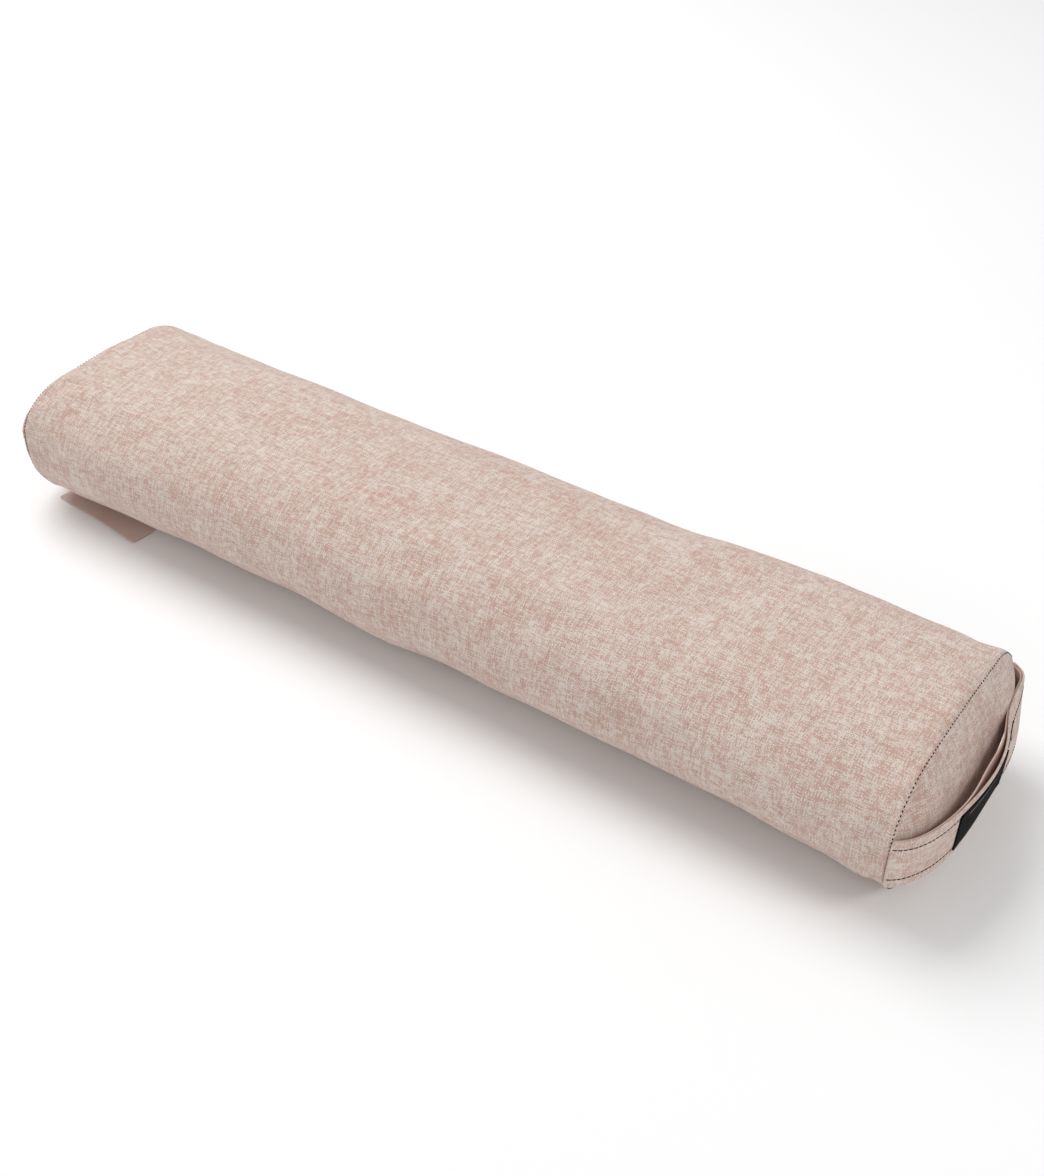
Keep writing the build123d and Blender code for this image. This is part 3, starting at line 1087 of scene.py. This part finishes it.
def tack_places(side):
    """The close-set stitches that double the upper line behind the middle, and a row across it."""
    places = []
    z = STRAP_MIDDLE + STITCH_OFF + 1.2 * MM
    for index in range(14):
        s = s_at_y((24 + 1.6 * index) * MM)
        along, normal = strap_direction(side, s, z)
        for row in (-0.55, 0.15):
            places.append((strap_point(side, s, z + row * MM, 0.05 * MM), along, normal))
    s = s_at_y(34 * MM)
    for index in range(3):
        along, normal = strap_direction(side, s, z)
        up = normal.cross(along).normalized()
        height = z - (index - 0.4) * 2.4 * MM
        places.append((strap_point(side, s, height, 0.02 * MM), up, normal))
    return places


def s_at_y(y):
    """The distance along the strap to a place across the body."""
    return float(np.interp(y, PLAN[:, 1], PLAN_S))


def make_topstitches(end, side):
    """The strap's two stitched lines."""
    places = topstitch_places(side) + tack_places(side)
    piece = stitches(f"{end}_strap_stitches", places, *STRAP_STITCH)
    strapped(piece, "dark_thread", end, side, f"{end}_handle_threads", f"{end}_root_threads")


def make_label():
    """The woven label: a thin slab on the strap's outer face, with folded ends."""
    start = s_at_y(LABEL_LOW.y)
    end = s_at_y(LABEL_HIGH.y)
    columns, rows = 34, 14
    middle_z = (LABEL_LOW.z + LABEL_HIGH.z) / 2
    levels = np.linspace(LABEL_LOW.z, LABEL_HIGH.z, rows)
    outline = [(z, -LABEL_THICK) for z in levels] + [(z, 0.05 * MM) for z in levels[::-1]]
    points = []
    uv_of = []
    for s in np.linspace(start, end, columns):
        edge = min(s - start, end - s)
        fold = 0.35 * MM * math.exp(-((edge / (4 * MM)) ** 4))
        for z, depth in outline:
            points.append(strap_point(1, s, z, depth - (fold if depth < 0 else 0)))
            uv_of.append((s - (start + end) / 2, z - middle_z))
    faces = tube_faces(columns, len(outline))
    uvs = [uv_of[index] for face in faces for index in face]
    piece = outward(mesh_object("label", points, faces, uvs))
    strapped(piece, "label_weave", "near", 1, "handle_label")


def make_label_stitches():
    """The stitches across the label's two ends."""
    places = []
    hem = 2.4 * MM
    for s in (s_at_y(LABEL_LOW.y) + hem, s_at_y(LABEL_HIGH.y) - hem):
        for z in np.arange(LABEL_LOW.z + hem, LABEL_HIGH.z - hem, 2.4 * MM):
            along, normal = strap_direction(1, s, z)
            up = normal.cross(along).normalized()
            places.append((strap_point(1, s, z, -LABEL_THICK - 0.35 * MM), up, normal))
    piece = stitches("label_end_stitches", places, *LABEL_STITCH)
    strapped(piece, "dark_thread", "near", 1, "label_threads")


# The tag


def make_tag():
    """The plain tag under the far end, whose free edge lifts a little."""
    tag_low, tag_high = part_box("under_tag")
    middle = (tag_low + tag_high) / 2
    along = Vector((math.cos(TAG_TURN), math.sin(TAG_TURN), 0))
    across = Vector((-math.sin(TAG_TURN), math.cos(TAG_TURN), 0))
    columns, rows = 24, 14
    points = []
    uv_of = []
    for layer in (0, 1):
        for i in range(columns + 1):
            for j in range(rows + 1):
                a, b = i / columns - 0.5, j / rows - 0.5
                place = middle + along * a * TAG_LENGTH + across * b * TAG_WIDTH
                free = max(0, -b - 0.15) / 0.35
                lift = 2.4 * MM * free**2 * (0.55 + 0.45 * math.sin(5.5 * a + 0.9))
                place.z = lift + 0.1 * MM + 0.55 * MM * layer
                points.append(place)
                uv_of.append((a * TAG_LENGTH, b * TAG_WIDTH))
    count = (columns + 1) * (rows + 1)
    faces = [f[::-1] for f in grid_faces(columns + 1, rows + 1)]
    faces += grid_faces(columns + 1, rows + 1, count)
    rim = [i * (rows + 1) for i in range(columns + 1)]
    rim += [columns * (rows + 1) + j for j in range(1, rows + 1)]
    rim += [i * (rows + 1) + rows for i in reversed(range(columns))]
    rim += [j for j in reversed(range(1, rows))]
    for a, b in zip(rim, rim[1:] + rim[:1]):
        faces.append((a, b, b + count, a + count))
    uvs = [uv_of[index] for face in faces for index in face]
    piece = outward(mesh_object("tag", points, faces, uvs))
    fixed(subdivide(piece), "tag_cloth", "under_tag")


# The zip


def coil_row(name, node, direction):
    """One row of the zip's coil, a rounded hook for each turn."""
    row_low, row_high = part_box(node)
    pitch = 1.5 * MM
    count = int((row_high.x - row_low.x) / pitch)
    height = row_high.y - row_low.y
    reach = row_high.z - row_low.z
    base = row_low.y + height / 2
    points = []
    faces = []
    for index in range(count):
        x = row_low.x + pitch * (index + (0.25 if direction > 0 else 0.75))
        start = len(points)
        for share, size in ((-0.12, 0.55), (0.1, 1.0), (0.75, 0.85), (1.0, 0.5)):
            z = ZIP_Z + direction * reach * share
            for step in range(COIL_SIDES):
                turn = 2 * math.pi * step / COIL_SIDES
                dx = 0.36 * pitch * math.cos(turn) * size
                dy = 0.5 * height * math.sin(turn) * (0.75 + 0.25 * size)
                points.append((x + dx, base + dy, z))
        faces.extend(tube_faces(4, COIL_SIDES, start))
    fixed(outward(mesh_object(name, points, faces)), "zip_coil_plastic", node)


def shape_of(node):
    """A CAD node's shape, to make a new piece from."""
    shape = shape_from(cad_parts[node].data)
    bmesh.ops.remove_doubles(shape, verts=shape.verts, dist=0.01 * MM)
    return shape


def rounded_copy(name, node, width, slot, body):
    """A piece with a CAD node's shape and softened edges, which stands for the node."""
    shape = shape_of(node)
    flat = math.radians(4)
    bmesh.ops.dissolve_limit(shape, angle_limit=flat, verts=shape.verts, edges=shape.edges)
    sharp = [e for e in shape.edges if e.is_manifold and e.calc_face_angle(0) > math.radians(30)]
    bmesh.ops.bevel(
        shape, geom=sharp, offset=width, segments=2, profile=0.6, affect="EDGES", clamp_overlap=True
    )
    bmesh.ops.triangulate(shape, faces=[f for f in shape.faces if len(f.verts) > 4])
    piece = new_object(name, put_shape(shape, bpy.data.meshes.new(name)))
    dress(piece, slot)
    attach(piece, body)
    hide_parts(node)
    return piece


def hem_stitch_places():
    """The places of the stitches that frame the zip's slot."""
    places = []
    wide = 2 * (SLOT_HALF + HEM_OFF)
    tall = SLOT_HIGH - SLOT_LOW + 2 * HEM_OFF
    level, upright = Vector((1, 0, 0)), Vector((0, 0, 1))
    for length, gap, along, across in ((wide, tall, level, upright), (tall, wide, upright, level)):
        count = round(length / (3 * MM))
        for sign in (-1, 1):
            edge = Vector((0, SIDE, ZIP_Z)) + across * sign * gap / 2
            for index in range(count):
                middle = edge + along * length * ((index + 0.5) / count - 0.5)
                places.append((middle, along, Vector((0, 1, 0))))
    return places


def on_surface(places, surface, sunk):
    """The same places on a surface, sunk a little into it."""
    graph = bpy.context.evaluated_depsgraph_get()
    target = surface.evaluated_get(graph)
    made = []
    for middle, along, _ in places:
        _, point, normal, _ = target.closest_point_on_mesh(middle)
        made.append((point - normal * sunk, along, normal))
    return made


def make_zip(cover):
    """The zip: coils, stops, slider and pull, and the hems' stitches."""
    coil_row("zip_teeth_upper", "zip_coil_upper", 1)
    coil_row("zip_teeth_lower", "zip_coil_lower", -1)
    rounded_copy("slider_body", "zip_slider", 0.28 * MM, "zip_metal", "slider")
    rounded_copy("slider_pull", "zip_pull", 0.3 * MM, "zip_metal", "pull")
    rounded_copy("zip_end_stops", "zip_top_stops", 0.3 * MM, "zip_metal", "root")
    rounded_copy("zip_base_stop", "zip_bottom_stop", 0.3 * MM, "zip_metal", "root")
    places = on_surface(hem_stitch_places(), cover, 0.05 * MM)
    fixed(stitches("zip_hem_stitches", places, *HEM_STITCH), "dark_thread", "zip_threads")
    for node in ("zip_tape_upper", "zip_tape_lower"):
        cloth_copy(node, "zip_tape_cloth", f"{node}_piece")


# The filling


def cloth_copy(node, slot, name, scale=None):
    """A piece with a CAD node's shape and a UV in metres for its weave, drawn in by a scale."""
    shape = shape_of(node)
    for layer in list(shape.loops.layers.uv.values()):
        shape.loops.layers.uv.remove(layer)
    layer = shape.loops.layers.uv.new("cloth")
    for face in shape.faces:
        ends = abs(face.normal.x) > 0.7
        level = abs(face.normal.z) > 0.7
        for corner in face.loops:
            x, y, z = corner.vert.co
            corner[layer].uv = (y, z) if ends else (x, y) if level else (x, z)
    if scale:
        for vert in shape.verts:
            vert.co = BODY_MIDDLE + (vert.co - BODY_MIDDLE) * Vector(scale)
    piece = placed(name, put_shape(shape, bpy.data.meshes.new(name)))
    if scale:
        set_points(piece, tapered(tucked(points_of(piece))))
    fixed(piece, slot, node)


INNER_SCALE = (0.975, 0.93, 0.92)
INNER_PIECES = (
    ("liner_wrap", "liner_cloth", "liner_tube"),
    ("near_liner_end", "liner_cloth", "liner_near_panel"),
    ("far_liner_end", "liner_cloth", "liner_far_panel"),
    ("near_liner_thread", "liner_thread", "liner_near_seam"),
    ("far_liner_thread", "liner_thread", "liner_far_seam"),
    ("wadding_wrap", "wadding", "wadding_roll"),
    ("fill_core", "core_foam", "firm_core"),
)


def make_filling():
    """The liner, wadding and core, drawn in to clear the shaped cover."""
    for node, slot, name in INNER_PIECES:
        cloth_copy(node, slot, name, INNER_SCALE)


# The studio


# Each light's name, place, target, size in metres and power in watts.
LIGHTS = (
    ("key", (-1.3, 0.3, 2.1), (0, 0, 0.05), 1.8, 42),
    ("fill", (0.9, -2.2, 1.2), (0, 0, 0.05), 2.2, 8),
    ("side", (1.6, 0.1, 1.3), (0.35, 0, 0.05), 0.5, 5.5),
)


def area_light(name, place, target, size, power):
    """A soft square light that faces a point."""
    lamp = bpy.data.lights.new(name, "AREA")
    lamp.size = size
    lamp.energy = power
    holder = placed(name, lamp)
    holder.location = place
    holder.rotation_euler = (Vector(target) - Vector(place)).to_track_quat("-Z", "Y").to_euler()


def floor_material():
    """A plain pale paper floor."""
    g = Graph("studio_floor", roughness=0.95)
    cloud = g.noise(g.place(), 3.0, 2.0)
    return g.finish(g.shade((0.93, 0.93, 0.93, 1), g.affine(cloud, 0.01, 0.99)))


def make_studio():
    """The floor, the lights and the world."""
    reach, level = 12.0, -0.0002
    corners = [(reach * a, reach * b, level) for a, b in ((-1, -1), (1, -1), (1, 1), (-1, 1))]
    floor = mesh_object("studio_floor", corners, [(0, 1, 2, 3)])
    floor.data.materials.append(floor_material())
    for light in LIGHTS:
        area_light(*light)
    world = bpy.data.worlds.new("studio")
    world.use_nodes = True
    sky = world.node_tree.nodes["Background"].inputs
    sky["Color"].default_value = (1, 1, 1, 1)
    sky["Strength"].default_value = 0.52
    bpy.context.scene.world = world
    bpy.context.scene.view_settings.view_transform = "Standard"


def make_camera():
    """The camera, at the product photograph's angle."""
    azimuth = math.radians(34.48)
    elevation = math.radians(39.44)
    distance = 1.101
    target = Vector((0.0453, -0.0031, 0.0526))
    level = math.cos(elevation)
    back = Vector((math.sin(azimuth) * level, -math.cos(azimuth) * level, math.sin(elevation)))
    data = bpy.data.cameras.new("camera")
    data.sensor_width = 36
    data.lens = 49.2
    camera = placed("camera", data)
    camera.location = target + back * distance
    camera.rotation_euler = (-back).to_track_quat("-Z", "Y").to_euler()
    bpy.context.scene.camera = camera


make_camera()
make_studio()
cover = make_cover()
for end_name, end_side in (("near", 1), ("far", -1)):
    make_seam_stitches(end_name, end_side, cover)
    make_plies(end_name, end_side)
    make_topstitches(end_name, end_side)
make_label()
make_label_stitches()
make_tag()
make_zip(cover)
make_filling()
